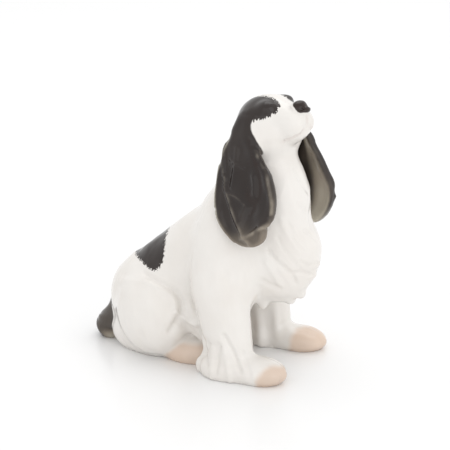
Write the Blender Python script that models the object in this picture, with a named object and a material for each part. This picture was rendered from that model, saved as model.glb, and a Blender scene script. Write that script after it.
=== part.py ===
# Sitting spaniel figurine, slip-cast glazed porcelain.
# The dog is built from nine castings that are luted together: the hollow body
# with its neck, the hollow head, two ears, two hollow forelegs, two hind paws
# and the tail.  Every length below is in millimetres, written in the dog's own
# axes: f = forward, l = towards the dog's left, z = up, floor at z = 0.
# The scene itself is in metres: x = l, y = -f, z = z.
import bpy
import bmesh
import numpy as np
from math import radians, sin, cos, pi

# ---------------------------------------------------------------- dimensions
MM = 0.001
WALL = 4.4            # wall of the hollow castings
JOINT = 0.30          # luting joint left between neighbouring castings
BASE_FLOOR = 4.6      # thickness of clay under the hollow body
VENT_R = 4.5          # drain and vent hole in the seat, radius
VENT_F = -40.0        # its place along the dog
HEAD_AT = (25.0, 0.0, 142.5)
HEAD_PITCH = 24.0     # nose lifted, degrees
HEAD_YAW = 15.0       # head turned to the dog's right, degrees
NECK_CUT = (24.0, 0.0, 129.0)       # plane of the neck joint
NECK_NORMAL = (0.34, 0.0, 0.94)
EAR_HALF = 3.0        # half thickness of an ear

# ------------------------------------------------------------ the head's axes
P_, Y_ = radians(HEAD_PITCH), radians(HEAD_YAW)
HM = np.array([cos(P_) * cos(Y_), -cos(P_) * sin(Y_), sin(P_)])
HT = np.array([sin(Y_), cos(Y_), 0.0])
HN = np.cross(HM, HT)
HO = np.array(HEAD_AT)
STRAIGHT = np.eye(3)


def on_head(c, r, pitch=0.0):
    """Ellipsoid written in the head's axes (muzzle, left, crown)."""
    a = radians(pitch)
    local = np.array([[cos(a), 0, sin(a)], [0, 1, 0], [-sin(a), 0, cos(a)]])
    axes = local @ np.stack([HM, HT, HN])
    at = HO + c[0] * HM + c[1] * HT + c[2] * HN
    return ("ell", tuple(at), r, axes)


def ell(c, r):
    return ("ell", c, r, STRAIGHT)


def cap(a, b, ra, rb, flat=1.0):
    """Tapered capsule; flat < 1 squeezes it sideways."""
    return ("cap", a, b, ra, rb, flat)


# ------------------------------------------------------- masses of each piece
TORSO = [
    ell((-45, 0, 29), (27, 24, 26.5)),
    cap((-37, 0, 35), (6, 0, 77), 26.5, 23.5),
    ell((-36, -22, 27), (22, 14.5, 23.5)), ell((-36, 22, 27), (22, 14.5, 23.5)),   # haunches
    ell((-40, -8, 9), (29, 16, 14)), ell((-40, 8, 9), (29, 16, 14)),               # seat
    ell((-14, 0, 36), (26, 21, 26)), ell((-14, 0, 9), (24, 14, 14)),               # belly
    ell((18, 0, 72), (28, 26, 32)),                                                # chest
    ell((10, -19, 70), (20, 13, 28)), ell((10, 19, 70), (20, 13, 28)),             # shoulders
    cap((14, 0, 91), (25, 0, 133), 22.5, 17.0),                                    # neck
    cap((25, 0, 125), (27.5, 0, 142), 17.0, 14.0),
    cap((-33, 0, 51), (-12, 0, 69), 19.0, 19.0),                                   # back
    ell((33, -1, 98), (18.5, 20, 30)),                                             # upper bib
    ell((36.5, 0, 69), (22.5, 21, 22)),                                            # lower bib
    ell((31, 0, 52), (15, 15, 14)),                                                # apron
    ell((37, -2, 57), (17.5, 15, 14)),
]
TORSO_CORE = [
    ell((-44, 0, 29), (22, 19, 21)),
    cap((-37, 0, 35), (6, 0, 77), 21.5, 19.0),
    ell((-36, -20, 27), (17, 11, 18)), ell((-36, 20, 27), (17, 11, 18)),
    ell((-38, 0, 12), (24, 18, 13)),
    ell((-12, 0, 36), (22, 16, 20)),
    ell((18, 0, 72), (23, 21, 27)),
    ell((10, -16, 70), (15, 10, 22)), ell((10, 16, 70), (15, 10, 22)),
    cap((14, 0, 91), (24, 0, 133), 17.5, 12.0),
    ell((32, -1, 96), (14, 15, 25)),
    ell((34, 0, 69), (17, 16, 17)),
]
HEAD = [
    on_head((0, 0, 1), (16, 16, 16.5)),
    on_head((7, 0, 4.5), (12.5, 14, 11)),                                          # forehead
    on_head((17, 0, -1), (13.2, 9.3, 9.0)),                                        # muzzle
    on_head((17.6, -5.2, -4.3), (11.8, 6, 8.2)), on_head((17.6, 5.2, -4.3), (11.8, 6, 8.2)),
    on_head((14, 0, -9), (13.5, 7.5, 5.5)),                                        # jaw
    on_head((2, -9, -7), (14, 9, 11)), on_head((2, 9, -7), (14, 9, 11)),           # cheeks
    on_head((27.2, 0, 3.6), (4.9, 6.0, 4.6)), on_head((28.4, 0, 1.2), (3.9, 5.6, 3.1)),    # nose
    on_head((11, -9, 9), (5.5, 4.8, 3.8)), on_head((11, 9, 9), (5.5, 4.8, 3.8)),   # brows
    cap((23, 0, 122), (27.5, 0, 140), 18.0, 16.0),                                 # nape
]
HEAD_CORE = [
    on_head((1, 0, 0), (11.5, 11.5, 12)),
    on_head((12, 0, -2.5), (12, 6.5, 6)),
    cap((21, 0, 118), (26, 0, 140), 12.5, 11.0),
]
TAIL = [cap((-64, 0, 18), (-74.5, 0, 7), 10.7, 9.4), cap((-67.5, 0, 14), (-71.8, 0, 26.5), 9.6, 2.6)]


def foreleg(s):
    dl = 0.0 if s < 0 else 1.5
    paw = ell((33, -30, 5.5), (17.5, 11.8, 8.5)) if s < 0 else ell((36, 27.5, 4.7), (17.5, 12, 7.8))
    return [cap((8.3 + dl, s * 26, 57), (14.3 + dl, s * 28, 17), 17.3, 14.6, 0.78),
            ell((13.8 + dl, s * 28.5, 4.5), (18.2, 13.5, 10.8)), paw]


def foreleg_core(s):
    dl = 0.0 if s < 0 else 1.5
    return [cap((8 + dl, s * 16, 66), (8 + dl, s * 25, 55), 9.0, 9.5, 0.85),
            cap((8.3 + dl, s * 26, 57), (14.3 + dl, s * 28.3, 19), 12.0, 9.6, 0.68)]


def hind_paw(s):
    return [ell((-15, s * 17, 5.7), (18, 9.5, 9))]


# outline of each ear on its own leaf: forward of the ear's root, height above the floor
EAR_RIGHT = [(1, 147), (7, 138), (15.5, 127), (21.5, 118), (26, 107), (27, 101), (25, 92), (20, 84), (9, 82),
             (-2, 87), (-10.5, 96), (-14.5, 105), (-16, 115), (-14.5, 125), (-13, 132), (-11, 139), (-6, 151), (0, 152)]
EAR_LEFT = [(2, 147), (12, 139.5), (16, 137), (18, 129.5), (22, 120), (25, 112), (25.5, 100), (23, 91.5), (19.5, 85),
            (11, 77.5), (4, 78.5), (-2, 82.5), (-11, 95.5), (-15, 109), (-16, 117), (-14.5, 125), (-11, 139), (-6, 151),
            (0, 152)]


# ------------------------------------------------------------- mesh machinery
def clear():
    for o in list(bpy.data.objects):
        bpy.data.objects.remove(o, do_unlink=True)


def row(p):
    """Dog's axes in mm -> scene axes in mm."""
    p = np.asarray(p, float)
    return np.stack([p[..., 1], -p[..., 0], p[..., 2]], -1)


def add_ellipsoid(bm, c, r, axes, grow):
    made = bmesh.ops.create_icosphere(bm, subdivisions=3, radius=1.0)["verts"]
    for v in made:
        u = np.array(v.co)
        q = np.array(c) + (u * (np.array(r) + grow)) @ axes
        v.co = row(q)


def add_capsule(bm, a, b, ra, rb, flat, grow):
    a, b = np.array(a, float), np.array(b, float)
    d = b - a
    length = np.linalg.norm(d)
    w = d / length
    side = np.array([0.0, 1.0, 0.0])
    side = side - w * (side @ w)
    side /= np.linalg.norm(side)
    front = np.cross(side, w)
    rings, seg = [], 24
    for i in range(1, 7):
        t = pi / 2 * i / 6
        rings.append((-cos(t) * (ra + grow), sin(t) * (ra + grow)))
    for i in range(6):
        t = pi / 2 * i / 6
        rings.append((length + sin(t) * (rb + grow), cos(t) * (rb + grow)))
    loops = []
    for along, radius in rings:
        loop = []
        for k in range(seg):
            t = 2 * pi * k / seg
            q = a + w * along + front * (radius * cos(t)) + side * (radius * flat * sin(t))
            loop.append(bm.verts.new(row(q)))
        loops.append(loop)
    for one, two in zip(loops[:-1], loops[1:]):
        for k in range(seg):
            bm.faces.new((one[k], one[(k + 1) % seg], two[(k + 1) % seg], two[k]))
    for loop, tip in ((loops[0], a - w * (ra + grow)), (loops[-1], b + w * (rb + grow))):
        t = bm.verts.new(row(tip))
        for k in range(seg):
            bm.faces.new((t, loop[k], loop[(k + 1) % seg]))


def from_bmesh(name, bm, hidden=True):
    bmesh.ops.recalc_face_normals(bm, faces=bm.faces)
    me = bpy.data.meshes.new(name)
    bm.to_mesh(me)
    bm.free()
    ob = bpy.data.objects.new(name, me)
    bpy.context.scene.collection.objects.link(ob)
    ob.hide_render = hidden
    if hidden:
        ob.display_type = "WIRE"
    return ob


def bake(ob):
    """Freeze the modifiers of an object into its mesh."""
    bpy.context.view_layer.update()
    dg = bpy.context.evaluated_depsgraph_get()
    me = bpy.data.meshes.new_from_object(ob.evaluated_get(dg))
    ob.modifiers.clear()
    ob.data = me


def blank(name, masses, voxel=1.8, smooth=8, faces=1500, grow=0.0):
    """Run the masses of one piece together into one smooth skin."""
    bm = bmesh.new()
    for m in masses:
        if m[0] == "ell":
            add_ellipsoid(bm, m[1], m[2], m[3], grow)
        else:
            add_capsule(bm, m[1], m[2], m[3], m[4], m[5], grow)
    ob = from_bmesh(name, bm)
    ob.modifiers.new("skin", "REMESH").mode = "VOXEL"
    ob.modifiers["skin"].voxel_size = voxel
    s = ob.modifiers.new("ease", "SMOOTH")
    s.iterations, s.factor = smooth, 0.5
    bake(ob)
    thin(ob, faces)
    return ob


def thin(ob, faces):
    """Bring a skin down to about the given number of triangles."""
    tri = sum(len(p.vertices) - 2 for p in ob.data.polygons)
    if tri > faces:
        d = ob.modifiers.new("thin", "DECIMATE")
        d.ratio = faces / tri
        d.use_collapse_triangulate = True
        bake(ob)


def ear_sheet(p, z, s):
    """How far out to the side an ear hangs at (p forward, z up)."""
    u = min(max((152.0 - z) / 75.0, 0.0), 1.1)
    low = min(max((u - 0.45) / 0.35, 0.0), 1.0)
    low = low * low * (3 - 2 * low)
    t = 12.0 + 15.0 * u ** 0.5 + 4.0 * u + 3.0 * max(u - 0.55, 0.0) + 2.4 * low
    if s < 0:
        t -= 2.6 * ((p - 2) / 18.0) ** 2 * (0.4 + 0.6 * u) * (1 - low)
    else:
        t += -2.6 * (min(p - 2, 0) / 18.0) ** 2 * (0.4 + 0.6 * u) * (1 - low) + 2.0 * (max(p - 2, 0) / 20.0) ** 2
    return s * t


def ear_blank(name, outline, s, faces):
    """A leaf of clay: the outline filled with rings, rounded over at its rim."""
    out = np.array(outline, float)
    pts = []
    for i in range(len(out)):
        a, b = out[i], out[(i + 1) % len(out)]
        for k in range(3):
            pts.append(a + (b - a) * k / 3)
    pts = np.array(pts)
    for _ in range(3):
        pts = (np.roll(pts, 1, 0) + 2 * pts + np.roll(pts, -1, 0)) / 4
    mid = np.array([1.5, 112.0])
    profile = [(1.0, 0.0), (0.985, 0.45), (0.95, 0.78), (0.88, 0.97), (0.7, 1.0), (0.45, 1.0), (0.2, 1.0)]
    bm = bmesh.new()
    sides = []
    for sign in (1, -1):
        loops = []
        for scale, thick in profile:
            if sign < 0 and thick == 0.0:
                loops.append(sides[0][0])
                continue
            loop = []
            for q in pts:
                p, z = mid + (q - mid) * scale
                t = ear_sheet(p, z, s) + sign * EAR_HALF * thick
                f = HO[0] + p * cos(Y_) + t * sin(Y_)
                l = -p * sin(Y_) + t * cos(Y_)
                loop.append(bm.verts.new(row((f, l, z))))
            loops.append(loop)
        n = len(pts)
        for one, two in zip(loops[:-1], loops[1:]):
            for k in range(n):
                bm.faces.new((one[k], one[(k + 1) % n], two[(k + 1) % n], two[k]))
        t = ear_sheet(mid[0], mid[1], s) + sign * EAR_HALF
        f = HO[0] + mid[0] * cos(Y_) + t * sin(Y_)
        l = -mid[0] * sin(Y_) + t * cos(Y_)
        c = bm.verts.new(row((f, l, mid[1])))
        for k in range(n):
            bm.faces.new((loops[-1][k], loops[-1][(k + 1) % n], c))
        sides.append(loops)
    ob = from_bmesh(name, bm)
    ob.modifiers.new("skin", "REMESH").mode = "VOXEL"
    ob.modifiers["skin"].voxel_size = 1.1
    m = ob.modifiers.new("ease", "SMOOTH")
    m.iterations, m.factor = 4, 0.5
    bake(ob)
    thin(ob, faces)
    return ob


def copy_of(ob, name, grow=0.0):
    """A hidden copy, its skin moved outwards by the given length."""
    me = ob.data.copy()
    c = bpy.data.objects.new(name, me)
    bpy.context.scene.collection.objects.link(c)
    c.hide_render = True
    c.display_type = "WIRE"
    if grow:
        bm = bmesh.new()
        bm.from_mesh(me)
        bm.normal_update()
        moved = [(v, v.co + v.normal * grow) for v in bm.verts]
        for v, co in moved:
            v.co = co
        bm.to_mesh(me)
        bm.free()
    return c


def carve(ob, tool, how="DIFFERENCE"):
    m = ob.modifiers.new("cut", "BOOLEAN")
    m.operation, m.solver, m.object = how, "EXACT", tool
    bake(ob)


def box(name, lo, hi, turn=None, at=None):
    """A cutter block from lo to hi; turned so that its +z runs along `turn`."""
    bm = bmesh.new()
    bmesh.ops.create_cube(bm, size=1.0)
    lo, hi = np.array(lo, float), np.array(hi, float)
    if turn is not None:
        n = np.array(turn, float)
        n /= np.linalg.norm(n)
        side = np.array([0.0, 1.0, 0.0])
        front = np.cross(side, n)
        axes = np.stack([front, side, n])
    else:
        axes = STRAIGHT
    for v in bm.verts:
        u = np.array(v.co) + 0.5
        q = (lo + u * (hi - lo)) @ axes + (np.array(at) if at is not None else 0)
        v.co = row(q)
    return from_bmesh(name, bm)


def rod(name, c, r, z0, z1, seg=28):
    bm = bmesh.new()
    rings = []
    for z in (z0, z1):
        rings.append([bm.verts.new(row((c[0] + r * cos(2 * pi * k / seg), c[1] + r * sin(2 * pi * k / seg), z)))
                      for k in range(seg)])
    for k in range(seg):
        bm.faces.new((rings[0][k], rings[0][(k + 1) % seg], rings[1][(k + 1) % seg], rings[1][k]))
    bm.faces.new(rings[0])
    bm.faces.new(rings[1])
    return from_bmesh(name, bm)


def keep_largest(ob):
    """Drop crumbs left by a cut; a piece is one body."""
    bm = bmesh.new()
    bm.from_mesh(ob.data)
    bmesh.ops.remove_doubles(bm, verts=bm.verts, dist=0.02)
    bmesh.ops.dissolve_degenerate(bm, dist=0.01, edges=bm.edges)
    bmesh.ops.triangulate(bm, faces=bm.faces)
    bm.verts.ensure_lookup_table()
    seen, groups = set(), []
    for v in bm.verts:
        if v.index in seen:
            continue
        stack, group = [v], []
        seen.add(v.index)
        while stack:
            w = stack.pop()
            group.append(w)
            for e in w.link_edges:
                o = e.other_vert(w)
                if o.index not in seen:
                    seen.add(o.index)
                    stack.append(o)
        groups.append(group)
    groups.sort(key=len, reverse=True)
    for g in groups[1:]:
        bmesh.ops.delete(bm, geom=g, context="VERTS")
    bmesh.ops.recalc_face_normals(bm, faces=bm.faces)
    bm.to_mesh(ob.data)
    bm.free()
    return len(groups)


# --------------------------------------------------------------------- build
clear()
floor = box("cut_floor", (-200, -200, -60), (200, 200, 0.0))
core_floor = box("cut_core_floor", (-200, -200, -60), (200, 200, BASE_FLOOR))
above_neck = box("cut_above", (-120, -120, 0.0), (120, 120, 120), NECK_NORMAL, NECK_CUT)
n_ = np.array(NECK_NORMAL) / np.linalg.norm(NECK_NORMAL)
below_neck = box("cut_below", (-120, -120, -120), (120, 120, 0.0), NECK_NORMAL, tuple(np.array(NECK_CUT) + n_ * JOINT))

torso = blank("torso", TORSO, 2.2, 6, 3600)
core = blank("cut_core", TORSO_CORE, 3.0, 6, 900)
carve(core, core_floor)
head = blank("head", HEAD, 1.5, 4, 2000)
head_core = blank("cut_head_core", HEAD_CORE, 2.0, 4, 420)
tail = blank("tail", TAIL, 1.6, 4, 360)
legs, leg_cores, paws, ears = {}, {}, {}, {}
for s, side in ((1, "left"), (-1, "right")):
    legs[side] = blank("foreleg_" + side, foreleg(s), 1.8, 6, 1300)
    leg_cores[side] = blank("cut_leg_core_" + side, foreleg_core(s), 2.2, 4, 360)
    paws[side] = blank("hind_paw_" + side, hind_paw(s), 1.5, 4, 360)
    ears[side] = ear_blank("ear_" + side, EAR_LEFT if s > 0 else EAR_RIGHT, s, 900)
vent = rod("cut_vent", (VENT_F, 0.0), VENT_R, -2.0, BASE_FLOOR + 8.0)

big_torso = copy_of(torso, "cut_big_torso", JOINT)
big_head = copy_of(head, "cut_big_head", JOINT)
big_legs = {k: copy_of(v, "cut_big_leg_" + k, JOINT) for k, v in legs.items()}

# the body: neck cut off square, sockets for the forelegs, cavity, vent hole
carve(torso, above_neck)
for k in legs:
    carve(torso, big_legs[k])
carve(torso, core)
for k in legs:
    carve(torso, leg_cores[k])
carve(torso, vent)
carve(torso, floor)
# the head sits on the neck joint and opens down into the neck
carve(head, below_neck)
carve(head, head_core)
# forelegs: hollow, trimmed where they reach the cavity of the body
for k in legs:
    carve(legs[k], core)
    carve(legs[k], leg_cores[k])
    carve(legs[k], floor)
# solid pieces laid against the body
for k in paws:
    carve(paws[k], big_torso)
    carve(paws[k], big_legs[k])
    carve(paws[k], floor)
for k in ears:
    carve(ears[k], big_torso)
    carve(ears[k], big_head)
    carve(ears[k], big_legs[k])
carve(tail, big_torso)
carve(tail, floor)

PIECES = [torso, head, ears["left"], ears["right"], legs["left"], legs["right"],
          paws["left"], paws["right"], tail]
COLOURS = {
    "torso": (0.86, 0.84, 0.80), "head": (0.86, 0.84, 0.80),
    "ear_left": (0.03, 0.027, 0.025), "ear_right": (0.03, 0.027, 0.025),
    "foreleg_left": (0.85, 0.82, 0.78), "foreleg_right": (0.85, 0.82, 0.78),
    "hind_paw_left": (0.70, 0.52, 0.40), "hind_paw_right": (0.70, 0.52, 0.40),
    "tail": (0.04, 0.036, 0.033),
}
for ob in PIECES:
    parts = keep_largest(ob)
    print(ob.name, "bodies", parts, "triangles", len(ob.data.polygons))

# origin: middle of the footprint of the bounding box, on the floor
everything = np.concatenate([np.array([v.co for v in ob.data.vertices]) for ob in PIECES])
lo, hi = everything.min(0), everything.max(0)
shift = np.array([-(lo[0] + hi[0]) / 2, -(lo[1] + hi[1]) / 2, -lo[2]])
print("bounds mm", lo.round(3), hi.round(3), "shift mm", shift.round(4))
for ob in PIECES:
    me = ob.data
    co = np.array([v.co for v in me.vertices])
    co = (co + shift) * MM
    for v, c in zip(me.vertices, co):
        v.co = c
    for p in me.polygons:
        p.use_smooth = False
    mat = bpy.data.materials.new("glaze_" + ob.name)
    mat.use_nodes = True
    bsdf = mat.node_tree.nodes["Principled BSDF"]
    bsdf.inputs["Base Color"].default_value = (*COLOURS[ob.name], 1.0)
    bsdf.inputs["Roughness"].default_value = 0.2
    me.materials.clear()
    me.materials.append(mat)
    ob.hide_render = False
    ob.display_type = "TEXTURED"
for o in list(bpy.data.objects):
    if o not in PIECES:
        bpy.data.objects.remove(o, do_unlink=True)
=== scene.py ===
# Looks of the sitting porcelain spaniel: the sculpted skin of the nine castings,
# the painted glaze, the studio.  Lengths in this script are millimetres in the
# dog's own axes, f = forward, l = its left, z = up, unless a name says metres.
import bpy
import numpy as np
from math import radians, sin, cos, pi
from mathutils import Matrix, Vector


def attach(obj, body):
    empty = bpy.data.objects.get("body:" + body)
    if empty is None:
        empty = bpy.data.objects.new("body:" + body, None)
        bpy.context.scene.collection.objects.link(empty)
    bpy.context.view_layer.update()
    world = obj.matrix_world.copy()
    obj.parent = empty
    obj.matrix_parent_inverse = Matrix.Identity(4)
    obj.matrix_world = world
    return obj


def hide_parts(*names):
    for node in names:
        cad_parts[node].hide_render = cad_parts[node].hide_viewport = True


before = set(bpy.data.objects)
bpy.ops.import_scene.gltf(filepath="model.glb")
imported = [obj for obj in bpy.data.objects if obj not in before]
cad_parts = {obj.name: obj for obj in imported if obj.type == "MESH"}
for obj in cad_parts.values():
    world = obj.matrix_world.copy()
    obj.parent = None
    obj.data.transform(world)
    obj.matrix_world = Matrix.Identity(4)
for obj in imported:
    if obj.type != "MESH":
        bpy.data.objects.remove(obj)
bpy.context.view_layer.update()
SHIFT_X, SHIFT_Y = 0.0081, -12.5935      # mm, from the dog's axes to the frame's origin
H = 0.8           # mm, size of the cells the skin is drawn on
F32 = np.float32


# --------------------------------------------------------------- distance tools
class Ell:
    def __init__(s, c, r, R=np.eye(3)):
        s.c, s.r, s.R = np.array(c, float), np.array(r, float), np.array(R, float)
        e = np.sqrt(((s.R * s.r[:, None]) ** 2).sum(0))
        s.lo, s.hi = s.c - e, s.c + e

    def d(s, P):
        q = (P - s.c.astype(F32)) @ s.R.T.astype(F32)
        a = q / s.r.astype(F32)
        k0 = np.sqrt((a * a).sum(-1))
        b = a / s.r.astype(F32)
        k1 = np.sqrt((b * b).sum(-1))
        return k0 * (k0 - 1) / np.maximum(k1, 1e-6)


class Cap:
    """Tapered capsule, squeezed along n when q < 1."""
    def __init__(s, a, b, ra, rb, n=None, q=1.0):
        s.a, s.b, s.ra, s.rb, s.q = np.array(a, float), np.array(b, float), ra, rb, q
        s.n = None if n is None else np.array(n, float) / np.linalg.norm(n)
        m = max(ra, rb)
        s.lo, s.hi = np.minimum(s.a, s.b) - m, np.maximum(s.a, s.b) + m

    def d(s, P):
        ba, pa = (s.b - s.a).astype(F32), P - s.a.astype(F32)
        if s.n is not None:
            n = s.n.astype(F32)
            pa = pa + (pa @ n)[..., None] * n * F32(1 / s.q - 1)
            ba = ba + (ba @ n) * n * F32(1 / s.q - 1)
        t = np.clip((pa @ ba) / float(ba @ ba), 0, 1)
        v = pa - t[..., None] * ba
        return np.sqrt((v * v).sum(-1)) - (s.ra + (s.rb - s.ra) * t)


def smin(a, b, k):
    h = np.clip(0.5 + 0.5 * (b - a) / k, 0, 1)
    return b + (a - b) * h - k * h * (1 - h)


def smax(a, b, k):
    return -smin(-a, -b, k)


def ramp(x, a, b):
    t = np.clip((x - a) / (b - a), 0, 1)
    return t * t * (3 - 2 * t)


def poly_d(x, y, pl):
    """Signed distance to a closed outline, negative inside."""
    dd = np.full(x.shape, 1e9, F32)
    inside = np.zeros(x.shape, bool)
    for (ax, ay), (bx, by) in zip(pl, np.roll(pl, -1, 0)):
        ex, ey = bx - ax, by - ay
        wx, wy = x - F32(ax), y - F32(ay)
        t = np.clip((wx * ex + wy * ey) / (ex * ex + ey * ey), 0, 1).astype(F32)
        qx, qy = wx - t * F32(ex), wy - t * F32(ey)
        dd = np.minimum(dd, qx * qx + qy * qy)
        c = ((ay <= y) & (by > y)) | ((by <= y) & (ay > y))
        inside ^= c & (x < ax + (y - ay) * (ex / (ey if abs(ey) > 1e-9 else 1e-9)))
    d = np.sqrt(dd)
    return np.where(inside, -d, d)


def path_d(x, y, pts):
    """Distance to an open line of points."""
    dd = np.full(x.shape, 1e9, F32)
    for (ax, ay), (bx, by) in zip(pts[:-1], pts[1:]):
        ex, ey = bx - ax, by - ay
        wx, wy = x - F32(ax), y - F32(ay)
        t = np.clip((wx * ex + wy * ey) / (ex * ex + ey * ey), 0, 1).astype(F32)
        dd = np.minimum(dd, (wx - t * F32(ex)) ** 2 + (wy - t * F32(ey)) ** 2)
    return np.sqrt(dd)


def rounded(pl, times=2):
    """Cut the corners of an outline."""
    pl = np.array(pl, float)
    for _ in range(times):
        nxt = np.roll(pl, -1, 0)
        pl = np.stack([0.75 * pl + 0.25 * nxt, 0.25 * pl + 0.75 * nxt], 1).reshape(-1, 2)
    return pl


TABLE = np.random.RandomState(7).rand(8192).astype(F32)


def noise(x, y, z, seed=0):
    """Smooth value noise, 0..1."""
    q = [np.floor(v).astype(np.int64) for v in (x, y, z)]
    r = [(v - i).astype(F32) for v, i in zip((x, y, z), q)]
    u = [t * t * (3 - 2 * t) for t in r]
    out = 0
    for i in (0, 1):
        for j in (0, 1):
            for k in (0, 1):
                h = ((q[0] + i) * 73856093) ^ ((q[1] + j) * 19349663) ^ ((q[2] + k) * 83492791) ^ (seed * 2654435)
                w = (u[0] if i else 1 - u[0]) * (u[1] if j else 1 - u[1]) * (u[2] if k else 1 - u[2])
                out = out + TABLE[(h & 8191)] * w
    return out


# ------------------------------------------------------------- the head's axes
PITCH, YAW = radians(24), radians(15)
HM = np.array([cos(PITCH) * cos(YAW), -cos(PITCH) * sin(YAW), sin(PITCH)])
HT = np.array([sin(YAW), cos(YAW), 0.0])
HN = np.cross(HM, HT)
HO = np.array([25.0, 0.0, 142.5])


def hp(m, t, n):
    return HO + m * HM + t * HT + n * HN


def hell(c, r, pitch=0.0, yaw=0.0):
    a, b = radians(pitch), radians(yaw)
    m = np.array([cos(a) * cos(b), -cos(a) * sin(b), sin(a)])
    t = np.array([sin(b), cos(b), 0.0])
    return Ell(hp(*c), r, np.stack([m, t, np.cross(m, t)]) @ np.stack([HM, HT, HN]))


def hcap(a, b, ra, rb):
    return Cap(hp(*a), hp(*b), ra, rb)


def in_head(P):
    q = P - HO.astype(F32)
    return q @ HM.astype(F32), q @ HT.astype(F32), q @ HN.astype(F32)


# ------------------------------------------------------------------ the masses
TORSO = [
    (Ell((-45, 0, 29), (27, 24, 26.5)), 6),
    (Cap((-37, 0, 35), (6, 0, 77), 26.5, 23.5), 12),
    (Ell((-36, -22, 27), (22, 14.5, 23.5)), 6.5), (Ell((-36, 22, 27), (22, 14.5, 23.5)), 6.5),  # haunches
    (Ell((-40, -8, 9), (29, 16, 14)), 7), (Ell((-40, 8, 9), (29, 16, 14)), 7),                  # seat
    (Ell((-14, 0, 36), (26, 21, 26)), 8), (Ell((-14, 0, 9), (24, 14, 14)), 8),                  # belly
    (Ell((18, 0, 72), (28, 26, 32)), 10),                                                       # chest
    (Ell((10, -19, 70), (20, 13, 28)), 8), (Ell((10, 19, 70), (20, 13, 28)), 8),                # shoulders
    (Cap((14, 0, 91), (25, 0, 133), 22.5, 17), 10),                                             # neck
    (Cap((-33, 0, 51), (-12, 0, 69), 17.8, 17.8), 6),                                           # back
    (Ell((33, -1, 98), (18.5, 20, 30)), 10),                                                    # bib
    (Ell((36.5, 0, 69), (22, 21, 22)), 9),
    (Ell((31, 0, 52), (15, 15, 14)), 6),
    (Ell((37, -2, 57), (17, 15, 14)), 5),
    (Cap((-24, -19, 44), (-6, -20, 27), 4.0, 5.0), 5), (Cap((-24, 19, 44), (-6, 20, 27), 4.0, 5.0), 5),    # flank folds
    (Cap((-21, -18, 26), (-5, -19, 19), 3.5, 5.0), 4), (Cap((-21, 18, 26), (-5, 19, 19), 3.5, 5.0), 4),
    (Cap((25, -11, 52), (27, -8, 37.5), 7.5, 2.6), 4),                                          # tufts under the chest
    (Cap((22, -17, 50), (20, -15, 36), 6.0, 2.2), 4),
    (Cap((38, -4, 52), (42, -2, 41), 7.0, 2.6), 4),
    (Cap((30, 6, 50), (31, 7, 38), 7.0, 2.4), 4),
    (Cap((50, -3, 70), (58, -4, 66), 5.0, 1.8), 4),                                             # locks on the bib's edge
    (Cap((47, -4, 63), (56, -4, 59), 4.8, 1.8), 3),
    (Cap((42, -4, 52), (49, -3, 45.5), 5.5, 2.2), 4),
]
HEAD = [
    (hell((0, 0, 1), (16, 16, 16.5)), 4),
    (hell((7, 0, 4.5), (12.5, 14, 11)), 5),                                                     # forehead
    (hell((17, 0, -1), (13.2, 9.3, 9.0)), 6),                                                   # muzzle
    (hell((17.6, -5.2, -4.3), (11.5, 6, 8.2)), 3.5), (hell((17.6, 5.2, -4.3), (11.5, 6, 8.2)), 3.5),    # flews
    (hell((14, 0, -9), (13.5, 7.5, 5.5)), 2.0),                                                 # jaw
    (hell((2, -9, -7), (14, 9, 11)), 5), (hell((2, 9, -7), (14, 9, 11)), 5),                    # cheeks
    (hell((11, -9, 9.5), (5.5, 4.8, 3.8)), 3), (hell((11, 9, 9.5), (5.5, 4.8, 3.8)), 3),        # brows
    (hell((12.8, -9.2, 7.0), (2.6, 2.4, 2.3)), 1.8), (hell((12.8, 9.2, 7.0), (2.6, 2.4, 2.3)), 1.8),  # eyes
]
NOSE = [(hell((26.8, 0, 3.9), (4.4, 5.3, 3.6)), 0.0), (hell((26.6, 0, 5.5), (4.0, 4.9, 2.3)), 1.5),
        (hell((29.4, 0, 1.7), (3.5, 5.0, 2.5)), 1.6)]


def foreleg(s):
    dl = 0 if s < 0 else 1.5
    paw = Ell((33, s * 30, 5.5), (17.5, 11.8, 8.5)) if s < 0 else Ell((36, 27.5, 4.5), (17.5, 12, 7.7))
    return [(Ell((9, s * 24, 60), (18, 12, 24)), 8),
            (Cap((8.6 + dl, s * 27, 50), (14.3 + dl, s * 28, 17), 16.6, 14.3, (0, 1, 0), 0.78), 8),
            (Ell((13.8 + dl, s * 28.5, 4.5), (17.8, 13.4, 10.5)), 4.5), (paw, 5)]


def hind_paw(s):
    return [(Ell((-15, s * 17, 5.5), (18, 9.5, 9)), 3)]


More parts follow.
